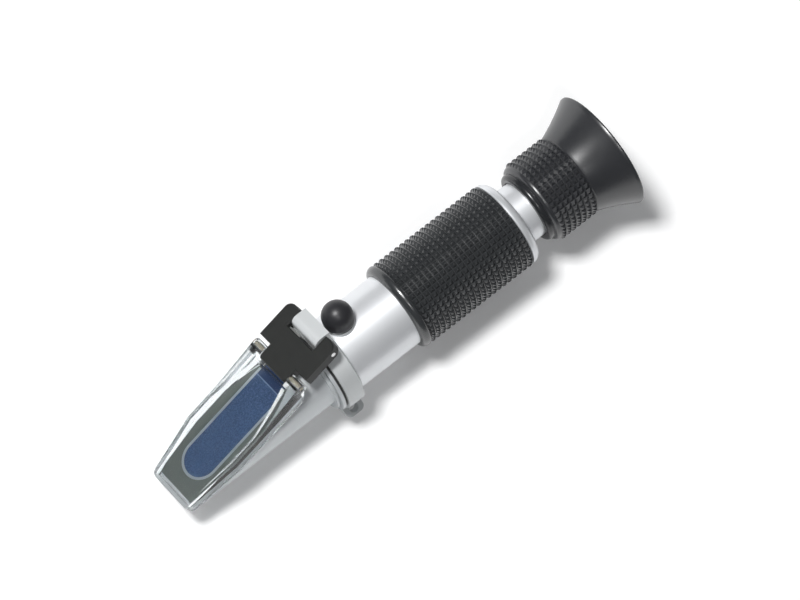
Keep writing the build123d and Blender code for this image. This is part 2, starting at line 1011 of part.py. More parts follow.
# Rubber eyecup: a knurled sleeve on the core that flares to the rim
flare_middle = flare_front + flare_length / 2
flare_middle_radius = (flare_start_radius + cup_rim_radius) / 2 - flare_sag
with BuildPart() as eyecup:
    with BuildSketch(section) as eyecup_outline:
        with BuildLine():
            Polyline(
                (overall_length, cup_rim_radius - cup_wall),
                (core_end + cup_throat_length, core_radius + snug),
                (cup_front, core_radius + snug),
                (cup_front, cup_nose_radius),
                *knurled_points(
                    cup_front + cup_nose_length,
                    flare_front,
                    cup_row_pitch,
                    cup_root_radius,
                    cup_crest_radius,
                ),
                (flare_front, flare_start_radius),
            )
            ThreePointArc(
                (flare_front, flare_start_radius),
                (flare_middle, flare_middle_radius),
                (overall_length - cup_wall / 2, cup_rim_radius),
            )
            Polyline(
                (overall_length - cup_wall / 2, cup_rim_radius),
                (overall_length, cup_rim_radius - cup_wall / 4),
                (overall_length, cup_rim_radius - cup_wall),
            )
        make_face()
    revolve(axis=optical_axis)
write(eyecup, "eyecup")

# T-shaped hinge block between the collar's tongue and the clear plate
pocket_half_width = tongue_half_width + tongue_side_gap
with BuildPart() as hinge_block:
    with BuildSketch(deck.offset(block_lift)):
        with BuildLine():
            Polyline(
                *half_outline(
                    [
                        (nose_front, nose_half_width),
                        (wing_front, nose_half_width),
                        (wing_front, wing_half_width),
                        (block_rear, wing_half_width),
                        (block_rear, pocket_half_width),
                        (pocket_front, pocket_half_width),
                    ]
                ),
                close=True,
            )
        make_face()
        fillet(vertices().group_by(Axis.X)[0], nose_corner_radius)
        fillet(
            vertices().group_by(Axis.Y)[0].sort_by(Axis.X)[-1:]
            + vertices().group_by(Axis.Y)[-1].sort_by(Axis.X)[-1:],
            wing_corner_radius,
        )
    extrude(amount=block_top - block_lift)
    chamfer(faces().sort_by(Axis((0, 0, 0), deck.z_dir))[-1].edges(), block_edge)
    with BuildSketch(deck_side):
        with Locations((cover_pin_at, cover_pin_height)):
            Circle(cover_pin_radius + running)
        with Locations((block_pin_at, block_pin_height)):
            Circle(block_pin_radius + snug)
    extrude(amount=far, both=True, mode=Mode.SUBTRACT)
write(hinge_block, "hinge_block")

with BuildPart() as block_hinge_pin:
    with BuildSketch(deck_side):
        with Locations((block_pin_at, block_pin_height)):
            Circle(block_pin_radius)
    extrude(amount=wing_half_width, both=True)
write(block_hinge_pin, "block_hinge_pin")

# Leaf spring in the pocket, which bears on the tongue
with BuildPart() as hinge_spring:
    with BuildSketch(deck.offset(block_lift + leaf_edge_margin)):
        with Locations((pocket_front + snug + leaf_thickness / 2, leaf_width / 2 + leaf_edge_margin)):
            Rectangle(leaf_thickness, leaf_width)
    extrude(amount=block_top - block_lift - 2 * leaf_edge_margin)
write(hinge_spring, "hinge_spring")

# Clear cover plate: a shallow tray with side walls, a skirt and two hinge ears
ear_inner = nose_half_width + 2 * running + free / 3
with BuildPart() as cover_plate:
    with BuildSketch(deck.offset(-skirt_depth)):
        with BuildLine():
            Polyline(
                *half_outline(
                    [
                        (0, plate_tip_half_width),
                        (plate_full_width_at, plate_half_width),
                        (cover_pin_at + ear_radius, plate_half_width),
                    ]
                ),
                close=True,
            )
        make_face()
        fillet(vertices().group_by(Axis.X)[0], plate_corner_radius)
    extrude(amount=far)
    with BuildSketch(deck_side):
        with BuildLine():
            Polyline(
                (0, -skirt_depth),
                (plate_length, -skirt_depth),
                (cover_pin_at, cover_pin_height - ear_radius),
                (cover_pin_at, cover_pin_height + ear_radius),
                (plate_wall_rise_at, plate_wall_height),
                (plate_full_width_at, plate_wall_height),
                (0, plate_tip_height),
                close=True,
            )
        make_face()
        with Locations((cover_pin_at, cover_pin_height)):
            Circle(ear_radius)
    extrude(amount=far, both=True, mode=Mode.INTERSECT)
    extrude(
        deck_outline(
            [
                (plate_lip, recess_tip_half_width),
                (plate_full_width_at, recess_half_width),
                (recess_full_until, recess_half_width),
                (recess_waist_at, recess_waist_half_width),
                (plate_length - plate_rear_wall, recess_rear_half_width),
            ],
            plate_gap + plate_floor,
        ),
        amount=far,
        dir=deck.z_dir,
        mode=Mode.SUBTRACT,
    )
    extrude(
        deck_outline(
            [
                (skirt_wall, plate_tip_half_width - skirt_wall),
                (plate_full_width_at, plate_half_width - skirt_wall),
                (cover_pin_at, plate_half_width - skirt_wall),
            ],
            plate_gap,
        ),
        amount=far,
        dir=-deck.z_dir,
        mode=Mode.SUBTRACT,
    )
    extrude(
        deck_outline([(plate_length, ear_inner), (plate_length + far, ear_inner)]),
        amount=far,
        both=True,
        mode=Mode.SUBTRACT,
    )
    with BuildSketch(deck_side):
        with Locations((cover_pin_at, cover_pin_height)):
            Circle(cover_pin_radius + snug)
    extrude(amount=far, both=True, mode=Mode.SUBTRACT)
write(cover_plate, "cover_plate")

with BuildPart() as cover_pin:
    with BuildSketch(deck_side):
        with Locations((cover_pin_at, cover_pin_height)):
            Circle(cover_pin_radius)
    extrude(amount=plate_half_width - free, both=True)
write(cover_pin, "cover_pin")
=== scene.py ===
# %% [markdown]
# A hand-held brix refractometer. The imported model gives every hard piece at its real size, and this
# file dresses it: finishes for metal, rubber, plastic and glass, and new meshes for the two knurled
# rubber pieces, whose pyramids are too fine for the solids. Everything is in metres, in the model's
# own frame, so a piece that is made here lies where the solid that it stands for lies.

# %% Load the frame and note its box
import json
import math

import bmesh
import bpy
from mathutils import Matrix, Vector


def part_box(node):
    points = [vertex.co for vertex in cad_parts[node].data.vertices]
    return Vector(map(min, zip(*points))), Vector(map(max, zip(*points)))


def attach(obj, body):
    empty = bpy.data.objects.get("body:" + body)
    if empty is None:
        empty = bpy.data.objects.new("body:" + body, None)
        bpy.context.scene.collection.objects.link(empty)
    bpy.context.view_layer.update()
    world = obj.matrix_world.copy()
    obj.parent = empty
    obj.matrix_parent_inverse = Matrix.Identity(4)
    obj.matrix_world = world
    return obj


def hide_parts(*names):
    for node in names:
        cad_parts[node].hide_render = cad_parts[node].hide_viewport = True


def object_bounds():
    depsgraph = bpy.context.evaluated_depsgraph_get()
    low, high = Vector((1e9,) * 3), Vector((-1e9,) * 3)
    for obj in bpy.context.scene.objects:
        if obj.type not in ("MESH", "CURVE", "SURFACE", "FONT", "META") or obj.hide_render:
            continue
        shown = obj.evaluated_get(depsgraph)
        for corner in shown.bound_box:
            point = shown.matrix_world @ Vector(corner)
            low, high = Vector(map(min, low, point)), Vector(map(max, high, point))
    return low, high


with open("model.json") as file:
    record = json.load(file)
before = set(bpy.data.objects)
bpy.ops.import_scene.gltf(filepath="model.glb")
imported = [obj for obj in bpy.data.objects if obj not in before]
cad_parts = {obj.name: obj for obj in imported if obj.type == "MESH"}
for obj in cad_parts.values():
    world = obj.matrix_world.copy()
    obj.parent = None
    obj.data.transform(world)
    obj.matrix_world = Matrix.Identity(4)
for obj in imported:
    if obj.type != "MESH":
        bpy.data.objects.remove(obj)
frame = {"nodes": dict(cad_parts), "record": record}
cad_low, cad_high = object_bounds()
print("box of the solids", tuple(cad_low), tuple(cad_high))

# %% [markdown]
# Places along the instrument are stations, measured from the prism's tip to the eyecup's rim. The
# The optical axis lies at half the eyecup's height. The deck is the sloping face under the clear
# plate: its slope is given, and its foot comes back from the prism's top corner, so the foot follows
# the model.

# %% Stations, axis and deck
MM = 0.001
MICRON = 0.000001
TIP = cad_low.x
AXIS_HEIGHT = (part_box("eyecup")[1].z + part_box("eyecup")[0].z) / 2
DECK_ANGLE = math.radians(18.0)
DECK_SLOPE = Vector((math.cos(DECK_ANGLE), 0, math.sin(DECK_ANGLE)))
DECK_NORMAL = Vector((-math.sin(DECK_ANGLE), 0, math.cos(DECK_ANGLE)))
PRISM_LENGTH_ON_DECK = 47.2 * MM
prism_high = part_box("main_prism")[1]
deck_foot = Vector((prism_high.x, 0, prism_high.z)) - DECK_SLOPE * PRISM_LENGTH_ON_DECK
print("axis height", AXIS_HEIGHT, "deck foot", tuple(deck_foot))


def at(station_mm, radius_mm=0.0, turn=0.0):
    """Point at a station and a radius, turned from straight up towards -Y."""
    return Vector(
        (
            TIP + station_mm * MM,
            -radius_mm * MM * math.sin(turn),
            AXIS_HEIGHT + radius_mm * MM * math.cos(turn),
        )
    )


# %% [markdown]
# The picture was taken with a long lens from above the lying instrument. Its axis rises to the right,
# its prism end is nearer to the camera, and the deck is rolled away from the viewer. Three angles say
# this, and the camera's own axes follow from them.

# %% Camera
AXIS_RISE = math.radians(37.6)
AXIS_TILT = math.radians(11.7)
DECK_ROLL = math.radians(33.0)
FOCAL_LENGTH_PX = 4200
IMAGE_WIDTH_PX = 800
SENSOR_WIDTH_MM = 36.0
CAMERA_DISTANCE = 1.265
AIM_STATION_MM = 90.4
AIM_OFFSET_MM = 1.3
CLIP_NEAR = 0.1
CLIP_FAR = 20.0

to_camera = Vector(
    (
        -math.sin(AXIS_TILT),
        -math.sin(DECK_ROLL) * math.cos(AXIS_TILT),
        math.cos(DECK_ROLL) * math.cos(AXIS_TILT),
    )
)
along_axis = Vector(
    (
        math.cos(AXIS_TILT),
        -math.sin(DECK_ROLL) * math.sin(AXIS_TILT),
        math.cos(DECK_ROLL) * math.sin(AXIS_TILT),
    )
)
across_axis = Vector((0, math.cos(DECK_ROLL), math.sin(DECK_ROLL)))


def make_camera():
    """The photograph's view: a long lens, turned so that the axis rises to the right."""
    right = along_axis * math.cos(AXIS_RISE) - across_axis * math.sin(AXIS_RISE)
    up = along_axis * math.sin(AXIS_RISE) + across_axis * math.cos(AXIS_RISE)
    aim = at(AIM_STATION_MM) + across_axis * AIM_OFFSET_MM * MM
    data = bpy.data.cameras.new("view_camera")
    data.sensor_width = SENSOR_WIDTH_MM
    data.lens = SENSOR_WIDTH_MM * FOCAL_LENGTH_PX / IMAGE_WIDTH_PX
    data.clip_start = CLIP_NEAR
    data.clip_end = CLIP_FAR
    camera = bpy.data.objects.new("view_camera", data)
    bpy.context.scene.collection.objects.link(camera)
    turned = Matrix((right, up, to_camera)).transposed().to_4x4()
    camera.matrix_world = Matrix.Translation(aim + to_camera * CAMERA_DISTANCE) @ turned
    bpy.context.scene.camera = camera
    print("camera at", tuple(camera.location), "lens", data.lens)


make_camera()

# %% [markdown]
# The instrument lies on a white table, on the rim of its eyecup and on its round collar.
# The table is a large sheet square to the roll, a hair under those two circles. Seen by the camera it
# gives off a little light of its own, so it reads as white while the soft shadow stays on it. It has
# no back, so a view from below still shows the instrument.

# %% Table
COLLAR_STATION_MM = 58.0
COLLAR_RADIUS_MM = 15.0
RIM_STATION_MM = 168.4
RIM_RADIUS_MM = (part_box("eyecup")[1].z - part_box("eyecup")[0].z) / 2 / MM
TABLE_SIZE = 3.0
TABLE_GAP_MM = 0.15
TABLE_COLOUR = (0.97, 0.97, 0.97)
TABLE_ROUGHNESS = 0.9
TABLE_GLOW = 0.06


def white_table_material():
    """White paper, a little brighter to the eye than to the light around it, with no back."""
    material = bpy.data.materials.new("white_table")
    material.use_nodes = True
    tree = material.node_tree
    shader = tree.nodes["Principled BSDF"]
    shader.inputs["Base Color"].default_value = (*TABLE_COLOUR, 1)
    shader.inputs["Roughness"].default_value = TABLE_ROUGHNESS
    shader.inputs["Specular IOR Level"].default_value = 0.0
    shader.inputs["Emission Color"].default_value = (1, 1, 1, 1)
    path = tree.nodes.new("ShaderNodeLightPath")
    seen = tree.nodes.new("ShaderNodeMath")
    seen.operation = "MAXIMUM"
    tree.links.new(path.outputs["Is Camera Ray"], seen.inputs[0])
    tree.links.new(path.outputs["Is Transmission Ray"], seen.inputs[1])
    either = tree.nodes.new("ShaderNodeMath")
    either.operation = "MAXIMUM"
    tree.links.new(seen.outputs[0], either.inputs[0])
    tree.links.new(path.outputs["Is Glossy Ray"], either.inputs[1])
    glow = tree.nodes.new("ShaderNodeMath")
    glow.operation = "MULTIPLY"
    glow.inputs[1].default_value = TABLE_GLOW
    tree.links.new(either.outputs[0], glow.inputs[0])
    tree.links.new(glow.outputs[0], shader.inputs["Emission Strength"])
    geometry = tree.nodes.new("ShaderNodeNewGeometry")
    solid = tree.nodes.new("ShaderNodeMath")
    solid.operation = "SUBTRACT"
    solid.inputs[0].default_value = 1.0
    tree.links.new(geometry.outputs["Backfacing"], solid.inputs[1])
    tree.links.new(solid.outputs[0], shader.inputs["Alpha"])
    return material


def lay_table():
    """Flat sheet under the collar and the rim, on the side away from the camera."""
    down = Vector((0, math.sin(DECK_ROLL), -math.cos(DECK_ROLL)))
    front = at(COLLAR_STATION_MM) + down * (COLLAR_RADIUS_MM + TABLE_GAP_MM) * MM
    rear = at(RIM_STATION_MM) + down * (RIM_RADIUS_MM + TABLE_GAP_MM) * MM
    lengthwise = (rear - front).normalized()
    sideways = down.cross(lengthwise).normalized()
    middle = (front + rear) / 2
    mesh = bpy.data.meshes.new("table")
    corners = [
        middle + lengthwise * TABLE_SIZE / 2 * a + sideways * TABLE_SIZE / 2 * b
        for a, b in ((-1, -1), (-1, 1), (1, 1), (1, -1))
    ]
    mesh.from_pydata(corners, [], [(0, 1, 2, 3)])
    table = bpy.data.objects.new("table", mesh)
    bpy.context.scene.collection.objects.link(table)
    mesh.materials.append(white_table_material())
    print("table faces", tuple(mesh.polygons[0].normal))


lay_table()

# %% [markdown]
# Most finishes here differ in colour, gloss and grain, but vary in the same three ways: the tone
# drifts a little over the surface, the gloss is uneven where hands have been, and a fine grain breaks
# the light. Each is a small node group with its own inputs, built once and placed in each material.

# %% Shared node groups
def new_group(name, inputs, outputs):
    """Empty group with typed sockets, and its two end nodes."""
    group = bpy.data.node_groups.new(name, "ShaderNodeTree")
    for label, kind, value in inputs:
        socket = group.interface.new_socket(label, in_out="INPUT", socket_type=kind)
        if value is not None:
            socket.default_value = value
    for label, kind in outputs:
        group.interface.new_socket(label, in_out="OUTPUT", socket_type=kind)
    return group, group.nodes.new("NodeGroupInput"), group.nodes.new("NodeGroupOutput")


def noise_in(group, place, scale, detail=3.0):
    """Noise over a place at a scale, from 0 to 1."""
    noise = group.nodes.new("ShaderNodeTexNoise")
    noise.inputs["Detail"].default_value = detail
    group.links.new(place, noise.inputs["Vector"])
    if isinstance(scale, (int, float)):
        noise.inputs["Scale"].default_value = scale
    else:
        group.links.new(scale, noise.inputs["Scale"])
    return noise.outputs["Fac"]


def spread_in(group, value, spread):
    """(value - 0.5) times a spread."""
    centred = group.nodes.new("ShaderNodeMath")
    centred.operation = "SUBTRACT"
    centred.inputs[1].default_value = 0.5
    group.links.new(value, centred.inputs[0])
    scaled = group.nodes.new("ShaderNodeMath")
    scaled.operation = "MULTIPLY"
    group.links.new(centred.outputs[0], scaled.inputs[0])
    group.links.new(spread, scaled.inputs[1])
    return scaled.outputs[0]


def make_tone_drift():
    """Colour that gets lighter and darker by a share of itself."""
    group, start, end = new_group(
        "tone_drift",
        [
            ("Place", "NodeSocketVector", None),
            ("Colour", "NodeSocketColor", (0.5, 0.5, 0.5, 1)),
            ("Spread", "NodeSocketFloat", 0.1),
            ("Scale", "NodeSocketFloat", 200.0),
        ],
        [("Colour", "NodeSocketColor")],
    )
    drift = noise_in(group, start.outputs["Place"], start.outputs["Scale"])
    shift = spread_in(group, drift, start.outputs["Spread"])
    factor = group.nodes.new("ShaderNodeMath")
    factor.operation = "ADD"
    factor.inputs[1].default_value = 1.0
    group.links.new(shift, factor.inputs[0])
    tinted = group.nodes.new("ShaderNodeVectorMath")
    tinted.operation = "SCALE"
    group.links.new(start.outputs["Colour"], tinted.inputs[0])
    group.links.new(factor.outputs[0], tinted.inputs["Scale"])
    group.links.new(tinted.outputs[0], end.inputs["Colour"])
    return group


def make_uneven_gloss():
    """Roughness that wanders about a middle value."""
    group, start, end = new_group(
        "uneven_gloss",
        [
            ("Place", "NodeSocketVector", None),
            ("Roughness", "NodeSocketFloat", 0.5),
            ("Spread", "NodeSocketFloat", 0.1),
            ("Scale", "NodeSocketFloat", 150.0),
        ],
        [("Roughness", "NodeSocketFloat")],
    )
    drift = noise_in(group, start.outputs["Place"], start.outputs["Scale"], 4.0)
    shift = spread_in(group, drift, start.outputs["Spread"])
    total = group.nodes.new("ShaderNodeMath")
    total.operation = "ADD"
    total.use_clamp = True
    group.links.new(shift, total.inputs[0])
    group.links.new(start.outputs["Roughness"], total.inputs[1])
    group.links.new(total.outputs[0], end.inputs["Roughness"])
    return group


def make_fine_grain():
    """Height of a fine noise grain, stretched for turned or brushed metal."""
    group, start, end = new_group(
        "fine_grain",
        [
            ("Place", "NodeSocketVector", None),
            ("Scale", "NodeSocketFloat", 2500.0),
            ("Stretch", "NodeSocketVector", (1.0, 1.0, 1.0)),
        ],
        [("Height", "NodeSocketFloat")],
    )
    stretched = group.nodes.new("ShaderNodeVectorMath")
    stretched.operation = "MULTIPLY"
    group.links.new(start.outputs["Place"], stretched.inputs[0])
    group.links.new(start.outputs["Stretch"], stretched.inputs[1])
    height = noise_in(group, stretched.outputs[0], start.outputs["Scale"], 2.0)
    group.links.new(height, end.inputs["Height"])
    return group


tone_drift = make_tone_drift()
uneven_gloss = make_uneven_gloss()
fine_grain = make_fine_grain()
print("node groups", [group.name for group in bpy.data.node_groups])

# %% [markdown]
# One function lays out a plain finish from these groups. A bump node turns the grain into a normal,
# and its distance is a real height in metres, so the grain stays as fine as it is on the object.

# %% Plain finishes
def placed(tree, group, values):
    """A group in a material, fed with the object's own coordinates and these values."""
    node = tree.nodes.new("ShaderNodeGroup")
    node.node_tree = group
    place = tree.nodes.get("place") or tree.nodes.new("ShaderNodeTexCoord")
    place.name = "place"
    tree.links.new(place.outputs["Object"], node.inputs["Place"])
    for label, value in values.items():
        node.inputs[label].default_value = value
    return node


def plain_finish(
    name,
    colour,
    roughness,
    metallic=0.0,
    drift=0.08,
    drift_scale=180.0,
    gloss_spread=0.08,
    grain_scale=2600.0,
    grain_height=20 * MICRON,
    stretch=(1.0, 1.0, 1.0),
):
    """Material with drifting tone, uneven gloss and a fine grain."""
    material = bpy.data.materials.new(name)
    material.use_nodes = True
    tree = material.node_tree
    shader = tree.nodes["Principled BSDF"]
    shader.inputs["Metallic"].default_value = metallic
    tone = placed(
        tree, tone_drift, {"Colour": (*colour, 1), "Spread": drift, "Scale": drift_scale}
    )
    tone.name = "tone"
    tree.links.new(tone.outputs["Colour"], shader.inputs["Base Color"])
    gloss = placed(
        tree, uneven_gloss, {"Roughness": roughness, "Spread": gloss_spread, "Scale": drift_scale}
    )
    gloss.name = "gloss"
    tree.links.new(gloss.outputs["Roughness"], shader.inputs["Roughness"])
    grain = placed(tree, fine_grain, {"Scale": grain_scale, "Stretch": stretch})
    bump = tree.nodes.new("ShaderNodeBump")
    bump.name = "bump"
    bump.inputs["Distance"].default_value = grain_height
    tree.links.new(grain.outputs["Height"], bump.inputs["Height"])
    tree.links.new(bump.outputs["Normal"], shader.inputs["Normal"])
    return material


TURNED = (1.0, 0.02, 0.02)
RUBBER_SHINE = 0.9
FINISH_VALUES = {
    "satin_alloy": dict(
        colour=(0.79, 0.805, 0.825),
        roughness=0.40,
        metallic=0.55,
        drift=0.03,
        drift_scale=60.0,
        gloss_spread=0.05,
        grain_scale=3000.0,
        grain_height=6 * MICRON,
        stretch=TURNED,
    ),
    "collar_alloy": dict(
        colour=(0.64, 0.66, 0.665),
        roughness=0.52,
        metallic=0.4,
        drift=0.04,
        drift_scale=90.0,
        gloss_spread=0.06,
        grain_scale=4200.0,
        grain_height=12 * MICRON,
    ),
    "bezel_silver": dict(
        colour=(0.62, 0.66, 0.68),
        roughness=0.34,
        metallic=0.6,
        drift=0.10,
        drift_scale=400.0,
        gloss_spread=0.12,
        grain_scale=2400.0,
        grain_height=10 * MICRON,
    ),
    "blackened_metal": dict(
        colour=(0.02, 0.02, 0.021),
        roughness=0.55,
        metallic=0.3,
    ),
    "pin_brass": dict(
        colour=(0.60, 0.53, 0.42),
        roughness=0.42,
        metallic=0.5,
        drift=0.12,
        drift_scale=700.0,
        gloss_spread=0.10,
        grain_scale=3000.0,
        grain_height=8 * MICRON,
    ),
    "pin_steel": dict(
        colour=(0.66, 0.66, 0.66),
        roughness=0.28,
        metallic=1.0,
        drift=0.06,
        drift_scale=600.0,
        grain_scale=3000.0,
        grain_height=6 * MICRON,
    ),
    "spring_steel": dict(
        colour=(0.70, 0.70, 0.68),
        roughness=0.30,
        metallic=1.0,
        drift=0.06,
        drift_scale=600.0,
        grain_scale=3000.0,
        grain_height=6 * MICRON,
    ),
    "grip_rubber": dict(
        colour=(0.028, 0.030, 0.032),
        roughness=0.24,
        drift=0.25,
        drift_scale=260.0,
        gloss_spread=0.14,
        grain_scale=3200.0,
        grain_height=20 * MICRON,
    ),
    "cup_rubber": dict(
        colour=(0.020, 0.021, 0.024),
        roughness=0.31,
        drift=0.18,
        drift_scale=140.0,
        gloss_spread=0.10,
        grain_scale=3600.0,
        grain_height=12 * MICRON,
    ),
    "seal_rubber": dict(
        colour=(0.025, 0.025, 0.026),
        roughness=0.65,
    ),
    "cap_rubber": dict(
        colour=(0.022, 0.022, 0.025),
        roughness=0.40,
        drift=0.15,
        drift_scale=200.0,
        grain_height=10 * MICRON,
    ),
    "block_plastic": dict(
        colour=(0.011, 0.012, 0.011),
        roughness=0.46,
        drift=0.22,
        drift_scale=300.0,
        gloss_spread=0.10,
        grain_scale=2400.0,
        grain_height=30 * MICRON,
    ),
    "core_plastic": dict(
        colour=(0.018, 0.019, 0.021),
        roughness=0.24,
        drift=0.10,
        drift_scale=200.0,
        gloss_spread=0.05,
        grain_scale=3000.0,
        grain_height=4 * MICRON,
    ),
}
finishes = {name: plain_finish(name, **values) for name, values in FINISH_VALUES.items()}
for name in ("grip_rubber", "cup_rubber"):
    shader = finishes[name].node_tree.nodes["Principled BSDF"]
    shader.inputs["Specular IOR Level"].default_value = RUBBER_SHINE
print("plain finishes", sorted(finishes))

# %% [markdown]
# The head is one casting: its outside is satin metal, and the deck under the clear plate is coloured a
# dark grey-green that is not metallic. This darker deck follows from the height over the deck, a
# plane, so it needs no picture: a group measures how far a point lies from that plane. The prism and
# the plate use the same group, along the deck and over it.

# %% Height over the deck and place along it
def make_deck_distance():
    """Distance of a place from an origin along a direction, in metres."""
    group, start, end = new_group(
        "deck_distance",
        [
            ("Place", "NodeSocketVector", None),
            ("Origin", "NodeSocketVector", (0.0, 0.0, 0.0)),
            ("Direction", "NodeSocketVector", (0.0, 0.0, 1.0)),
        ],
        [("Distance", "NodeSocketFloat")],
    )
    moved = group.nodes.new("ShaderNodeVectorMath")
    moved.operation = "SUBTRACT"
    group.links.new(start.outputs["Place"], moved.inputs[0])
    group.links.new(start.outputs["Origin"], moved.inputs[1])
    along = group.nodes.new("ShaderNodeVectorMath")
    along.operation = "DOT_PRODUCT"
    group.links.new(moved.outputs[0], along.inputs[0])
    group.links.new(start.outputs["Direction"], along.inputs[1])
    group.links.new(along.outputs["Value"], end.inputs["Distance"])
    return group


deck_distance = make_deck_distance()


def from_deck_foot(tree, direction):
    """Distance from the deck's foot along a direction."""
    node = placed(tree, deck_distance, {"Origin": deck_foot, "Direction": direction})
    return node.outputs["Distance"]


def stepped(tree, value, low, high):
    """0 below a low value, 1 above a high one, and a ramp between them."""
    ramp = tree.nodes.new("ShaderNodeMapRange")
    ramp.inputs["From Min"].default_value = low
    ramp.inputs["From Max"].default_value = high
    tree.links.new(value, ramp.inputs["Value"])
    return ramp.outputs["Result"]


def mixed_colour(tree, mask, below, above):
    """Colour that changes from one to another with a mask."""
    mix = tree.nodes.new("ShaderNodeMix")
    mix.data_type = "RGBA"
    tree.links.new(mask, mix.inputs["Factor"])
    for socket, colour in ((mix.inputs["A"], below), (mix.inputs["B"], above)):
        if isinstance(colour, tuple):
            socket.default_value = (*colour, 1)
        else:
            tree.links.new(colour, socket)
    return mix.outputs["Result"]


# Faces of the head at or over the deck's plane are coloured dark grey-green and not metallic; the
# colour ramps in over this depth below the plane.
DECK_DARK_EDGE = 0.08 * MM
DECK_DARK_COLOUR = (0.145, 0.160, 0.148)


def head_finish():
    """Satin casting whose deck is coloured dark grey-green and not metallic."""
    material = plain_finish(
        "head_alloy",
        (0.62, 0.645, 0.66),
        roughness=0.48,
        metallic=0.4,
        drift=0.04,
        drift_scale=90.0,
        gloss_spread=0.06,
        grain_scale=4200.0,
        grain_height=10 * MICRON,
    )
    tree = material.node_tree
    shader = tree.nodes["Principled BSDF"]
    height = from_deck_foot(tree, DECK_NORMAL)
    darkening = stepped(tree, height, -DECK_DARK_EDGE, 0.0)
    tone = tree.nodes["tone"].outputs["Colour"]
    tree.links.new(mixed_colour(tree, darkening, tone, DECK_DARK_COLOUR), shader.inputs["Base Color"])
    bare = tree.nodes.new("ShaderNodeMath")
    bare.operation = "MULTIPLY_ADD"
    bare.inputs[1].default_value = -shader.inputs["Metallic"].default_value
    bare.inputs[2].default_value = shader.inputs["Metallic"].default_value
    tree.links.new(darkening, bare.inputs[0])
    tree.links.new(bare.outputs[0], shader.inputs["Metallic"])
    return material


finishes["head_alloy"] = head_finish()
print("the deck coat ends", DECK_DARK_EDGE, "m below the deck")

# %% [markdown]
# The prism is glass over a black chamber, so its face reads as blue. Its working part is ground to a
# mottled, lighter blue; a bright line ends it, and a smooth darker strip lies behind. The face is a
# coated dielectric with a rough, mottled base, because light that went through it is lost inside.

# %% Prism face
GROUND_LENGTH = 43.2 * MM
LINE_WIDTH = 0.35 * MM
LINE_EDGE = LINE_WIDTH / 3
GROUND_BLUE = (0.034, 0.074, 0.170)
GROUND_BLUE_LIGHT = (0.085, 0.140, 0.285)
STRIP_BLUE = (0.018, 0.044, 0.125)
LINE_BLUE = (0.20, 0.28, 0.44)
SPECK_SCALE = 2200.0
SPECK_DETAIL = 4.0
SPECK_LOW = 0.42
SPECK_HIGH = 0.62
FACE_COAT = 0.6
FACE_COAT_ROUGHNESS = 0.08


def prism_finish():
    """Mottled blue face, a bright line and a dark smooth strip."""
    material = plain_finish(
        "prism_glass",
        GROUND_BLUE,
        roughness=0.35,
        drift=0.25,
        drift_scale=900.0,
        gloss_spread=0.12,
        grain_height=30 * MICRON,
    )
    tree = material.node_tree
    shader = tree.nodes["Principled BSDF"]
    shader.inputs["Coat Weight"].default_value = FACE_COAT
    shader.inputs["Coat Roughness"].default_value = FACE_COAT_ROUGHNESS
    along = from_deck_foot(tree, DECK_SLOPE)
    specks = tree.nodes.new("ShaderNodeTexNoise")
    specks.inputs["Scale"].default_value = SPECK_SCALE
    specks.inputs["Detail"].default_value = SPECK_DETAIL
    tree.links.new(tree.nodes["place"].outputs["Object"], specks.inputs["Vector"])
    speckled = stepped(tree, specks.outputs["Fac"], SPECK_LOW, SPECK_HIGH)
    ground = mixed_colour(tree, speckled, tree.nodes["tone"].outputs["Colour"], GROUND_BLUE_LIGHT)
    line_end = GROUND_LENGTH + LINE_WIDTH
    past_line = stepped(tree, along, line_end, line_end + LINE_EDGE)
    past_ground = stepped(tree, along, GROUND_LENGTH, GROUND_LENGTH + LINE_EDGE)
    with_line = mixed_colour(tree, past_ground, ground, LINE_BLUE)
    whole = mixed_colour(tree, past_line, with_line, STRIP_BLUE)
    tree.links.new(whole, shader.inputs["Base Color"])
    return material


finishes["prism_glass"] = prism_finish()
print("ground part of the prism ends", GROUND_LENGTH, "m up the deck")

# %% [markdown]
# The cover plate and the lenses let light through, and bend it, so their walls show by their bright
# edges. The lenses have a faint coating colour.

# %% Clear pieces
GLASS_IOR = 1.52
ACRYLIC_IOR = 1.45


def clear_finish(name, colour, roughness, ior):
    """Refracting material with a faintly uneven gloss."""
    material = plain_finish(
        name,
        colour,
        roughness,
        drift=0.01,
        drift_scale=80.0,
        gloss_spread=roughness / 2,
        grain_scale=900.0,
        grain_height=4 * MICRON,
    )
    shader = material.node_tree.nodes["Principled BSDF"]
    shader.inputs["Transmission Weight"].default_value = 1.0
    shader.inputs["IOR"].default_value = ior
    return material


finishes["lens_glass"] = clear_finish("lens_glass", (0.90, 0.95, 0.96), 0.02, GLASS_IOR)
finishes["reticle_glass"] = clear_finish("reticle_glass", (0.92, 0.96, 0.98), 0.05, GLASS_IOR)
print("clear finishes of index", GLASS_IOR, "and", ACRYLIC_IOR)

# %% [markdown]
# The plate's floor over the prism is polished, and its thick walls are softly frosted by moulding
# marks and handling. Height over the deck tells them apart, so the walls read as pale grey bands.

# %% Cover plate
FLOOR_TOP = 1.8 * MM
WALL_RISE = 0.5 * MM
FLOOR_ROUGHNESS = 0.03
WALL_ROUGHNESS = 0.17


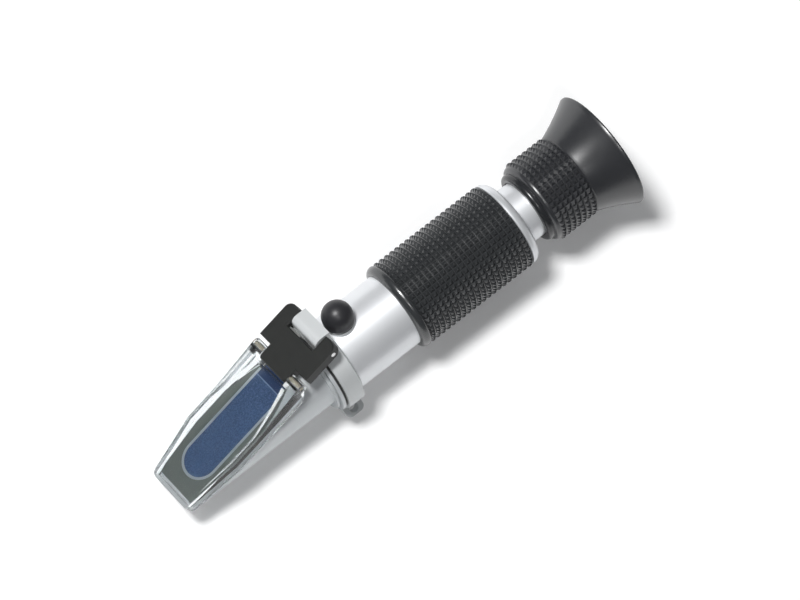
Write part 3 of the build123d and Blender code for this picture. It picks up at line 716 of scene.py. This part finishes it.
def plate_finish():
    """Polished floor and softly frosted walls and skirt."""
    material = clear_finish("clear_plastic", (0.93, 0.96, 0.97), FLOOR_ROUGHNESS, ACRYLIC_IOR)
    tree = material.node_tree
    height = from_deck_foot(tree, DECK_NORMAL)
    above = stepped(tree, height, FLOOR_TOP, FLOOR_TOP + WALL_RISE)
    below = stepped(tree, height, 0.0, -WALL_RISE)
    wall = tree.nodes.new("ShaderNodeMath")
    wall.operation = "MAXIMUM"
    tree.links.new(above, wall.inputs[0])
    tree.links.new(below, wall.inputs[1])
    rough = tree.nodes.new("ShaderNodeMath")
    rough.operation = "MULTIPLY_ADD"
    rough.inputs[1].default_value = WALL_ROUGHNESS
    tree.links.new(wall.outputs[0], rough.inputs[0])
    tree.links.new(tree.nodes["gloss"].outputs["Roughness"], rough.inputs[2])
    tree.links.new(rough.outputs[0], tree.nodes["Principled BSDF"].inputs["Roughness"])
    return material


finishes["clear_plastic"] = plate_finish()
print("plate floor ends", FLOOR_TOP, "m over the deck")

# %% [markdown]
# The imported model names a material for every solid. Each name has its finish by now, so a loop gives
# every solid the real one. The two rubber pieces that are remade below are dressed here too, because a
# solid keeps its material when another mesh stands for it.

# %% Give every solid its finish
for row in frame["record"]["subparts"]:
    node = frame["nodes"][row["node"]]
    for index in range(max(1, len(node.material_slots))):
        if node.material_slots:
            node.material_slots[index].material = finishes[row["material_slot"]]
        else:
            node.data.materials.append(finishes[row["material_slot"]])

# %% [markdown]
# The grip and the eyecup's sleeve are rubber with rows of small pyramids. Bump alone would leave a
# smooth outline, so each pyramid is real geometry: a square foot with a narrow groove around it and a
# small blunt top. Rows and columns are counted, and each pyramid comes from the same few lines.

# %% Mesh helpers for turned and knurled rubber
TURN_SEGMENTS = 176


class RubberShape:
    """Collects corners and faces of one rubber piece turned about the optical axis."""

    def __init__(self):
        self.points = []
        self.faces = []
        self.smooth = []

    def ring(self, station_mm, radius_mm, count):
        """Ring of corners; gives back the index of its first corner."""
        first = len(self.points)
        for step in range(count):
            self.points.append(at(station_mm, radius_mm, 2 * math.pi * step / count))
        return first

    def turned(self, profile, count, smooth=True, closed=False):
        """Skin through (station, radius) pairs."""
        rings = [self.ring(station, radius, count) for station, radius in profile]
        pairs = list(zip(rings, rings[1:]))
        if closed:
            pairs.append((rings[-1], rings[0]))
        for near, far in pairs:
            for step in range(count):
                after = (step + 1) % count
                self.faces.append((near + step, near + after, far + after, far + step))
                self.smooth.append(smooth)

    def knurled(self, start_mm, end_mm, rows, columns, root_mm, crest_mm, groove=0.05, blunt=0.10):
        """Band of blunt pyramids; groove and blunt are shares of one pyramid's width."""
        pitch = (end_mm - start_mm) / rows
        rims = [
            self.ring(start_mm + row * pitch, root_mm, columns) for row in range(rows + 1)
        ]
        turn = 2 * math.pi / columns
        for row in range(rows):
            for column in range(columns):
                self.pyramid(
                    (start_mm + row * pitch, pitch),
                    (column * turn, turn),
                    (root_mm, crest_mm),
                    (rims[row], rims[row + 1], column, (column + 1) % columns),
                    (groove, blunt),
                )

    def pyramid(self, along, around, radii, rims, shares):
        """One blunt pyramid inside its cell of four rim corners."""
        groove, blunt = shares
        foot = self.square(along, around, radii[0], groove)
        top = self.square(along, around, radii[1], 0.5 - blunt / 2)
        near, far, column, after = rims
        corners = (near + column, near + after, far + after, far + column)
        for side in range(4):
            following = (side + 1) % 4
            self.faces.append((corners[side], corners[following], foot + following, foot + side))
            self.faces.append((foot + side, foot + following, top + following, top + side))
            self.smooth += [False, False]
        self.faces.append((top, top + 1, top + 2, top + 3))
        self.smooth.append(False)

    def square(self, along, around, radius_mm, inset):
        """Four corners of a cell, drawn in by a share of its width."""
        start, pitch = along
        angle, turn = around
        first = len(self.points)
        for share_along, share_around in (
            (inset, inset),
            (inset, 1 - inset),
            (1 - inset, 1 - inset),
            (1 - inset, inset),
        ):
            self.points.append(
                at(start + share_along * pitch, radius_mm, angle + share_around * turn)
            )
        return first

    def build(self, name, material):
        """Object with outward faces from what was collected."""
        mesh = bpy.data.meshes.new(name)
        mesh.from_pydata(self.points, [], self.faces)
        mesh.polygons.foreach_set("use_smooth", self.smooth)
        work = bmesh.new()
        work.from_mesh(mesh)
        bmesh.ops.remove_doubles(work, verts=work.verts, dist=0.002 * MM)
        bmesh.ops.recalc_face_normals(work, faces=work.faces)
        work.to_mesh(mesh)
        work.free()
        mesh.materials.append(material)
        piece = bpy.data.objects.new(name, mesh)
        bpy.context.scene.collection.objects.link(piece)
        print(name, len(mesh.vertices), "corners", len(mesh.polygons), "faces")
        return piece


def arc(centre, radius, start_deg, end_deg, steps):
    """Profile points on an arc in the lengthwise section."""
    points = []
    for step in range(steps + 1):
        angle = math.radians(start_deg + (end_deg - start_deg) * step / steps)
        points.append((centre[0] + radius * math.cos(angle), centre[1] + radius * math.sin(angle)))
    return points


# %% [markdown]
# The grip starts with a smooth rounded nose, then a narrow step and twenty rows of pyramids up to the
# bright end ring. Its bore lies on the tube.

# %% Grip
def station_of(x):
    """Station in millimetres of a place along X."""
    return (x - TIP) / MM


GRIP_ROWS = 20
GRIP_COLUMNS = 48
GRIP_BORE_MM = 12.42
GRIP_ROOT_MM = 13.8
GRIP_CREST_MM = 14.7
GRIP_NOSE_MM = 3.0
GRIP_NOSE_FILLET_MM = 2.1
GRIP_HEM_MM = 0.1


def make_grip():
    """Knurled rubber sleeve that stands for the plain one."""
    low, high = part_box("grip_sleeve")
    start, end = station_of(low.x), station_of(high.x)
    shape = RubberShape()
    fillet = GRIP_NOSE_FILLET_MM
    nose_end = start + GRIP_NOSE_MM
    profile = [(start, GRIP_BORE_MM)]
    profile += arc((start + fillet, GRIP_CREST_MM - fillet), fillet, 180, 90, 8)
    lip = GRIP_CREST_MM - GRIP_ROOT_MM
    profile += arc((nose_end - lip, GRIP_CREST_MM - lip), lip, 90, 0, 5)
    profile += [(nose_end, GRIP_ROOT_MM)]
    shape.turned(profile, TURN_SEGMENTS)
    hem = end - GRIP_HEM_MM
    shape.knurled(nose_end, hem, GRIP_ROWS, GRIP_COLUMNS, GRIP_ROOT_MM, GRIP_CREST_MM)
    back = [(hem, GRIP_ROOT_MM), (end, GRIP_ROOT_MM - GRIP_HEM_MM), (end, GRIP_BORE_MM)]
    shape.turned(back + [(start, GRIP_BORE_MM)], TURN_SEGMENTS)
    piece = shape.build("knurled_grip", finishes["grip_rubber"])
    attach(piece, "body")
    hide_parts("grip_sleeve")


make_grip()

# %% [markdown]
# The eyecup is one soft piece: a rounded nose, seven rows of pyramids, a smooth flare and a thin
# rounded rim. Inside, the flare narrows to the throat round the eye lens.

# %% Eyecup
CUP_ROWS = 7
CUP_COLUMNS = 46
CUP_BORE_MM = 12.02
CUP_ROOT_MM = 13.45
CUP_CREST_MM = 14.2
CUP_NOSE_MM = 1.5
CUP_SLEEVE_MM = 15.9
FLARE_START_MM = 13.9
CUP_WALL_MM = 1.2
FLARE_SAG_MM = 0.35
FLARE_STEPS = 16
CUP_GROOVE_MM = 0.4
CUP_EDGE_MM = 0.1
THROAT_STATION_MM = 156.2


def flare_curve(start, end):
    """Nearly straight line between two profile points that sags a little in the middle."""
    points = []
    for step in range(FLARE_STEPS + 1):
        share = step / FLARE_STEPS
        station = start[0] + (end[0] - start[0]) * share
        radius = start[1] + (end[1] - start[1]) * share - 4 * FLARE_SAG_MM * share * (1 - share)
        points.append((station, radius))
    return points


def make_eyecup():
    """Knurled sleeve and flare that stand for the plain eyecup."""
    low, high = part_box("eyecup")
    start, end = station_of(low.x), station_of(high.x)
    rim = (high.z - low.z) / 2 / MM
    flare_start = start + CUP_SLEEVE_MM
    groove = flare_start - CUP_GROOVE_MM
    lip = CUP_WALL_MM / 2
    shape = RubberShape()
    nose = arc((start + CUP_NOSE_MM, CUP_ROOT_MM - CUP_NOSE_MM), CUP_NOSE_MM, 180, 90, 8)
    shape.turned([(start, CUP_BORE_MM)] + nose, TURN_SEGMENTS)
    shape.knurled(
        start + CUP_NOSE_MM, groove, CUP_ROWS, CUP_COLUMNS, CUP_ROOT_MM, CUP_CREST_MM
    )
    outside = [(groove, CUP_ROOT_MM), (flare_start - CUP_EDGE_MM, FLARE_START_MM - CUP_EDGE_MM)]
    outside += flare_curve((flare_start + CUP_EDGE_MM, FLARE_START_MM), (end - lip, rim))
    outside += [
        (end - lip * 0.45, rim - lip * 0.06),
        (end - lip * 0.12, rim - lip * 0.35),
        (end, rim - lip * 0.9),
        (end - lip * 0.15, rim - lip * 1.5),
        (end - lip * 0.6, rim - lip * 1.95),
    ]
    inside = flare_curve((end - lip * 0.8, rim - lip * 2.1), (THROAT_STATION_MM, CUP_BORE_MM))
    shape.turned(outside + inside + [(start, CUP_BORE_MM)], TURN_SEGMENTS)
    piece = shape.build("knurled_eyecup", finishes["cup_rubber"])
    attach(piece, "focus_ring")
    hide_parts("eyecup")


make_eyecup()

# %% [markdown]
# Soft studio light: the key lamp stands a little above the instrument's axis, as the camera sees it,
# and throws the short shadow below it. A weak front lamp puts the fine streaks on the black rubber and
# the second highlight on the metal, and the surround is dim.

# %% Light
KEY_LIFT = 0.40
KEY_DISTANCE = 1.6
KEY_SIZE = 0.32
KEY_POWER = 25.0
FRONT_DROP = 0.24
FRONT_DISTANCE = 1.2
FRONT_SIZE = 0.14
FRONT_POWER = 1.7
SURROUND_COLOUR = (0.86, 0.89, 0.93)
SURROUND_STRENGTH = 0.13


def add_lamp(name, direction, distance, size, power):
    """Square area lamp that looks at the middle of the instrument."""
    data = bpy.data.lights.new(name, "AREA")
    data.shape = "SQUARE"
    data.size = size
    data.energy = power
    lamp = bpy.data.objects.new(name, data)
    bpy.context.scene.collection.objects.link(lamp)
    middle = at(AIM_STATION_MM)
    lamp.location = middle + direction.normalized() * distance
    lamp.rotation_mode = "QUATERNION"
    lamp.rotation_quaternion = (middle - lamp.location).to_track_quat("-Z", "Y")


def light_the_table():
    """Key, front lamp and surround, placed about the line of sight."""
    above = to_camera + across_axis * KEY_LIFT
    below = to_camera - across_axis * FRONT_DROP
    add_lamp("key", above, KEY_DISTANCE, KEY_SIZE, KEY_POWER)
    add_lamp("front", below, FRONT_DISTANCE, FRONT_SIZE, FRONT_POWER)
    world = bpy.data.worlds.new("studio")
    bpy.context.scene.world = world
    world.use_nodes = True
    surround = world.node_tree.nodes["Background"]
    surround.inputs["Color"].default_value = (*SURROUND_COLOUR, 1)
    surround.inputs["Strength"].default_value = SURROUND_STRENGTH


light_the_table()
bpy.context.scene.view_settings.view_transform = "Standard"
